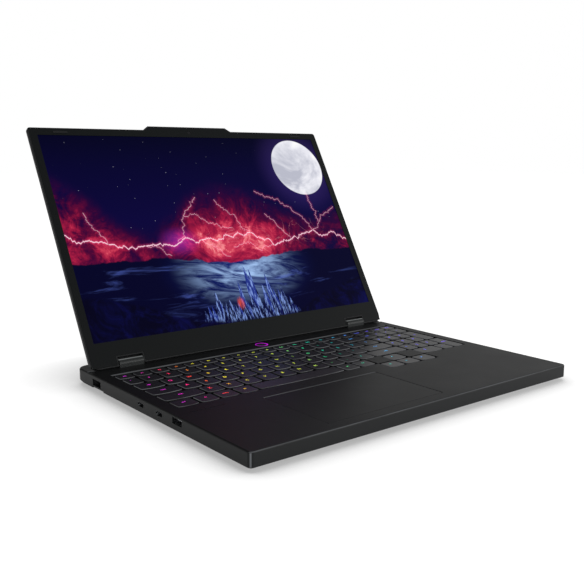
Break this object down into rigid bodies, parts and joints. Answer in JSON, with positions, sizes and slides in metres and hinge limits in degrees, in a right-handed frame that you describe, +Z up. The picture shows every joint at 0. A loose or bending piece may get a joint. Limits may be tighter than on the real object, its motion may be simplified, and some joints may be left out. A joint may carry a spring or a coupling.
{
  "type": "laptop computer",
  "caption": "Open clamshell laptop computer: hinged display lid on a keyboard base with keypad, touchpad, side and rear sockets, cooling fans and working keys.",
  "frame": {"origin": "on the table, under the middle of the open machine's bounding box", "axes": "+X to the user's right, +Y from the user to the back of the machine, +Z up"},
  "size_m": [0.345, 0.352, 0.2219],
  "materials": {
    "deck_plastic": "fine soft-touch matte, charcoal",
    "cover_plastic": "fine textured matte, near black",
    "foot_rubber": "matte black rubber",
    "black_steel": "black-plated screw steel",
    "tray_metal": "black-painted sheet, matte",
    "touchpad_film": "smooth satin film, charcoal",
    "button_plastic": "satin charcoal",
    "ring_light": "translucent light guide, lit magenta",
    "circuit_board": "solder mask, satin",
    "chip_silicon": "polished die on a dark package",
    "module_board": "dark board with black chips",
    "battery_film": "black film wrap",
    "speaker_plastic": "black moulded",
    "copper": "flattened copper tube, satin",
    "fin_aluminium": "thin folded sheet",
    "fan_plastic": "black moulded",
    "rotor_plastic": "black moulded",
    "socket_steel": "bright pressed steel",
    "socket_plastic": "black moulded",
    "hinge_plastic": "matte charcoal",
    "hinge_steel": "brushed steel",
    "lid_plastic": "fine soft-touch matte, charcoal",
    "bezel_plastic": "fine matte, near black",
    "display_glass": "anti-glare screen, lit picture",
    "camera_glass": "black lens and board",
    "key_plastic": "satin keycaps, lit legends"
  },
  "bodies": {
    "base": {"base_top_case": "deck_plastic", "base_bottom_cover": "cover_plastic", "rubber_feet": "foot_rubber", "bottom_screws": "black_steel", "keyboard_backplate": "tray_metal", "power_button_ring": "ring_light", "motherboard": "circuit_board", "processor_packages": "chip_silicon", "ssd_module": "module_board", "memory_modules": "module_board", "wireless_card": "module_board", "battery_pack": "battery_film", "speakers": "speaker_plastic", "heat_pipes": "copper", "heatsink_fins": "fin_aluminium", "fan_housing_left": "fan_plastic", "fan_housing_right": "fan_plastic", "usb_a_ports": "socket_steel", "usb_c_ports": "socket_steel", "hdmi_port": "socket_steel", "power_inlet": "socket_steel", "audio_jack": "socket_plastic", "ethernet_jack": "socket_plastic", "hinge_covers": "hinge_plastic", "hinge_base_brackets": "hinge_steel"},
    "lid": {"lid_cover": "lid_plastic", "lid_bezel": "bezel_plastic", "display_panel": "display_glass", "camera_module": "camera_glass", "lid_bumpers": "foot_rubber", "hinge_lid_arms": "hinge_steel", "hinge_pins": "hinge_steel"},
    "touchpad": {"touchpad": "touchpad_film"},
    "power_button": {"power_button": "button_plastic"},
    "camera_switch": {"camera_switch": "button_plastic"},
    "ethernet_jaw": {"ethernet_jaw": "deck_plastic"},
    "fan_rotor_left": {"fan_rotor_left": "rotor_plastic"},
    "fan_rotor_right": {"fan_rotor_right": "rotor_plastic"},
    "keys_function_row": {"keys_function_row": "key_plastic"},
    "keys_number_row": {"keys_number_row": "key_plastic"},
    "key_backspace": {"key_backspace": "key_plastic"},
    "key_tab": {"key_tab": "key_plastic"},
    "keys_upper_row": {"keys_upper_row": "key_plastic"},
    "key_caps_lock": {"key_caps_lock": "key_plastic"},
    "keys_home_row": {"keys_home_row": "key_plastic"},
    "key_enter": {"key_enter": "key_plastic"},
    "key_shift_left": {"key_shift_left": "key_plastic"},
    "keys_lower_row": {"keys_lower_row": "key_plastic"},
    "key_shift_right": {"key_shift_right": "key_plastic"},
    "keys_bottom_row": {"keys_bottom_row": "key_plastic"},
    "key_space": {"key_space": "key_plastic"},
    "key_arrow_up": {"key_arrow_up": "key_plastic"},
    "key_arrow_left": {"key_arrow_left": "key_plastic"},
    "key_arrow_down": {"key_arrow_down": "key_plastic"},
    "key_arrow_right": {"key_arrow_right": "key_plastic"},
    "keys_keypad_top": {"keys_keypad_top": "key_plastic"},
    "keys_keypad_digits": {"keys_keypad_digits": "key_plastic"},
    "key_keypad_plus": {"key_keypad_plus": "key_plastic"},
    "key_keypad_enter": {"key_keypad_enter": "key_plastic"},
    "key_keypad_zero": {"key_keypad_zero": "key_plastic"}
  },
  "joints": [
    {"name": "lid_hinge", "type": "hinge", "parent": "base", "child": "lid", "pos_m": [0, 0.055, 0.0175], "axis": [-1, 0, 0], "range_deg": [-120.2, 30]},
    {"name": "touchpad_click", "type": "hinge", "parent": "base", "child": "touchpad", "pos_m": [-0.03845, -0.0912, 0.0137], "axis": [1, 0, 0], "range_deg": [0, 0.25], "stiffness_Nm_per_rad": 25, "springref_deg": -0.11},
    {"name": "power_press", "type": "slide", "parent": "base", "child": "power_button", "axis": [0, 0, -1], "range_m": [0, 0.0004], "stiffness_N_per_m": 1500, "springref_m": -0.0002},
    {"name": "camera_slide", "type": "slide", "parent": "base", "child": "camera_switch", "axis": [0, 1, 0], "range_m": [0, 0.0028]},
    {"name": "ethernet_jaw_drop", "type": "hinge", "parent": "base", "child": "ethernet_jaw", "pos_m": [-0.158, 0.03655, 0.005], "axis": [0, -1, 0], "range_deg": [0, 10], "stiffness_Nm_per_rad": 0.02, "springref_deg": -11.46},
    {"name": "fan_spin_left", "type": "hinge", "parent": "base", "child": "fan_rotor_left", "pos_m": [-0.084, 0.0143, 0.007], "axis": [0, 0, 1], "continuous": true},
    {"name": "fan_spin_right", "type": "hinge", "parent": "base", "child": "fan_rotor_right", "pos_m": [0.084, 0.0143, 0.007], "axis": [0, 0, 1], "continuous": true},
    {"name": "keys_function_row_press", "type": "slide", "parent": "base", "child": "keys_function_row", "axis": [0, 0, -1], "range_m": [0, 0.0013], "stiffness_N_per_m": 350, "springref_m": -0.0008},
    {"name": "keys_number_row_press", "type": "slide", "parent": "base", "child": "keys_number_row", "axis": [0, 0, -1], "range_m": [0, 0.0013], "stiffness_N_per_m": 350, "springref_m": -0.0008},
    {"name": "key_backspace_press", "type": "slide", "parent": "base", "child": "key_backspace", "axis": [0, 0, -1], "range_m": [0, 0.0013], "stiffness_N_per_m": 350, "springref_m": -0.0008},
    {"name": "key_tab_press", "type": "slide", "parent": "base", "child": "key_tab", "axis": [0, 0, -1], "range_m": [0, 0.0013], "stiffness_N_per_m": 350, "springref_m": -0.0008},
    {"name": "keys_upper_row_press", "type": "slide", "parent": "base", "child": "keys_upper_row", "axis": [0, 0, -1], "range_m": [0, 0.0013], "stiffness_N_per_m": 350, "springref_m": -0.0008},
    {"name": "key_caps_lock_press", "type": "slide", "parent": "base", "child": "key_caps_lock", "axis": [0, 0, -1], "range_m": [0, 0.0013], "stiffness_N_per_m": 350, "springref_m": -0.0008},
    {"name": "keys_home_row_press", "type": "slide", "parent": "base", "child": "keys_home_row", "axis": [0, 0, -1], "range_m": [0, 0.0013], "stiffness_N_per_m": 350, "springref_m": -0.0008},
    {"name": "key_enter_press", "type": "slide", "parent": "base", "child": "key_enter", "axis": [0, 0, -1], "range_m": [0, 0.0013], "stiffness_N_per_m": 350, "springref_m": -0.0008},
    {"name": "key_shift_left_press", "type": "slide", "parent": "base", "child": "key_shift_left", "axis": [0, 0, -1], "range_m": [0, 0.0013], "stiffness_N_per_m": 350, "springref_m": -0.0008},
    {"name": "keys_lower_row_press", "type": "slide", "parent": "base", "child": "keys_lower_row", "axis": [0, 0, -1], "range_m": [0, 0.0013], "stiffness_N_per_m": 350, "springref_m": -0.0008},
    {"name": "key_shift_right_press", "type": "slide", "parent": "base", "child": "key_shift_right", "axis": [0, 0, -1], "range_m": [0, 0.0013], "stiffness_N_per_m": 350, "springref_m": -0.0008},
    {"name": "keys_bottom_row_press", "type": "slide", "parent": "base", "child": "keys_bottom_row", "axis": [0, 0, -1], "range_m": [0, 0.0013], "stiffness_N_per_m": 350, "springref_m": -0.0008},
    {"name": "key_space_press", "type": "slide", "parent": "base", "child": "key_space", "axis": [0, 0, -1], "range_m": [0, 0.0013], "stiffness_N_per_m": 350, "springref_m": -0.0008},
    {"name": "key_arrow_up_press", "type": "slide", "parent": "base", "child": "key_arrow_up", "axis": [0, 0, -1], "range_m": [0, 0.0013], "stiffness_N_per_m": 350, "springref_m": -0.0008},
    {"name": "key_arrow_left_press", "type": "slide", "parent": "base", "child": "key_arrow_left", "axis": [0, 0, -1], "range_m": [0, 0.0013], "stiffness_N_per_m": 350, "springref_m": -0.0008},
    {"name": "key_arrow_down_press", "type": "slide", "parent": "base", "child": "key_arrow_down", "axis": [0, 0, -1], "range_m": [0, 0.0013], "stiffness_N_per_m": 350, "springref_m": -0.0008},
    {"name": "key_arrow_right_press", "type": "slide", "parent": "base", "child": "key_arrow_right", "axis": [0, 0, -1], "range_m": [0, 0.0013], "stiffness_N_per_m": 350, "springref_m": -0.0008},
    {"name": "keys_keypad_top_press", "type": "slide", "parent": "base", "child": "keys_keypad_top", "axis": [0, 0, -1], "range_m": [0, 0.0013], "stiffness_N_per_m": 350, "springref_m": -0.0008},
    {"name": "keys_keypad_digits_press", "type": "slide", "parent": "base", "child": "keys_keypad_digits", "axis": [0, 0, -1], "range_m": [0, 0.0013], "stiffness_N_per_m": 350, "springref_m": -0.0008},
    {"name": "key_keypad_plus_press", "type": "slide", "parent": "base", "child": "key_keypad_plus", "axis": [0, 0, -1], "range_m": [0, 0.0013], "stiffness_N_per_m": 350, "springref_m": -0.0008},
    {"name": "key_keypad_enter_press", "type": "slide", "parent": "base", "child": "key_keypad_enter", "axis": [0, 0, -1], "range_m": [0, 0.0013], "stiffness_N_per_m": 350, "springref_m": -0.0008},
    {"name": "key_keypad_zero_press", "type": "slide", "parent": "base", "child": "key_keypad_zero", "axis": [0, 0, -1], "range_m": [0, 0.0013], "stiffness_N_per_m": 350, "springref_m": -0.0008}
  ]
}
